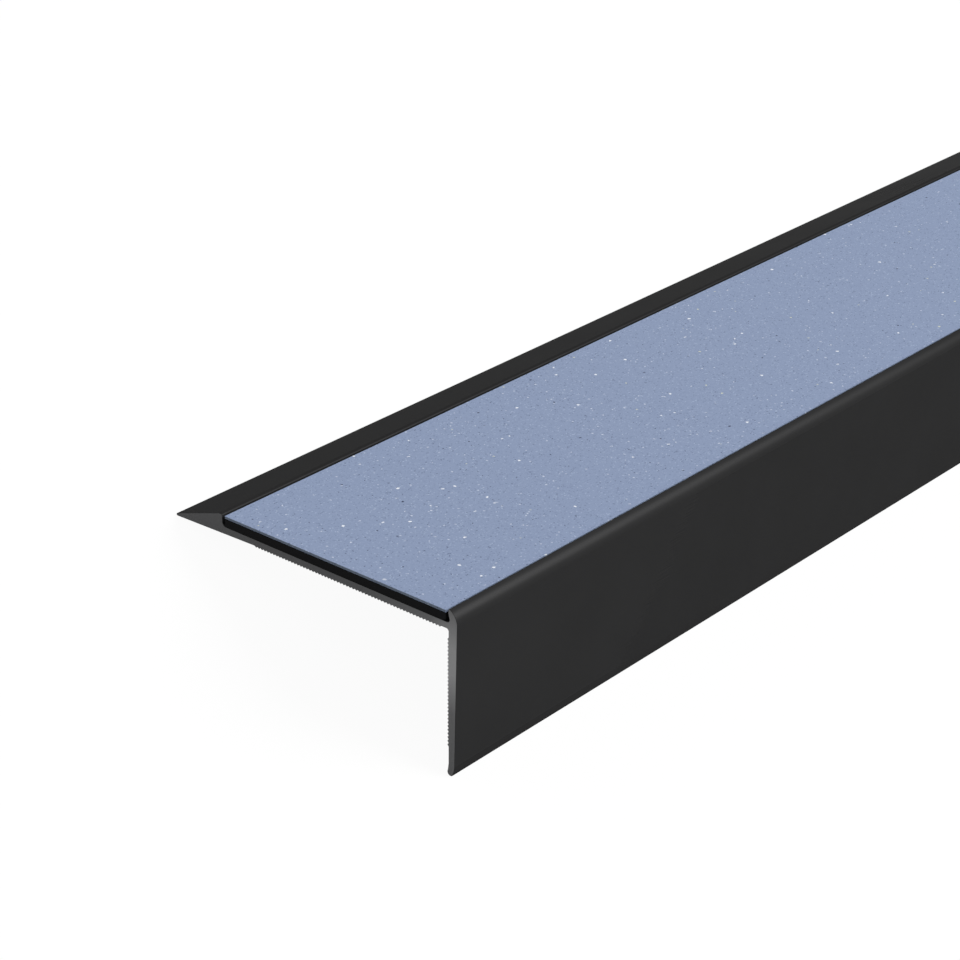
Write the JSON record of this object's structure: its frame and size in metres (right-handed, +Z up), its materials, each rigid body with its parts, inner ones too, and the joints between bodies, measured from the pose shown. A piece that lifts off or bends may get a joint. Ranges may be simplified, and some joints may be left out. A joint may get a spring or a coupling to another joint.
{
  "type": "stair nosing",
  "caption": "Black aluminium stair nosing with a round front edge, ramped back edge, serrated glue faces and a blue flecked anti-slip insert in its recess.",
  "frame": {"origin": "middle of the length and of the depth, on the floor that the nosing lies on", "axes": "+X along the length, +Y from the riser leg towards the tip of the ramp, +Z up; the nosing lies on the foot of its riser leg and the tip of its ramp, so its tread plate slopes down towards +Y by 23 degrees"},
  "size_m": [1, 0.0688, 0.0284],
  "materials": {
    "profile": "satin black coating with bare sawn ends",
    "backing": "matt black",
    "facing": "matt grey-blue safety vinyl with fine pale and dark flecks"
  },
  "bodies": {
    "root": {"nosing_profile": "profile", "insert_backing": "backing", "insert_facing": "facing"}
  },
  "joints": []
}
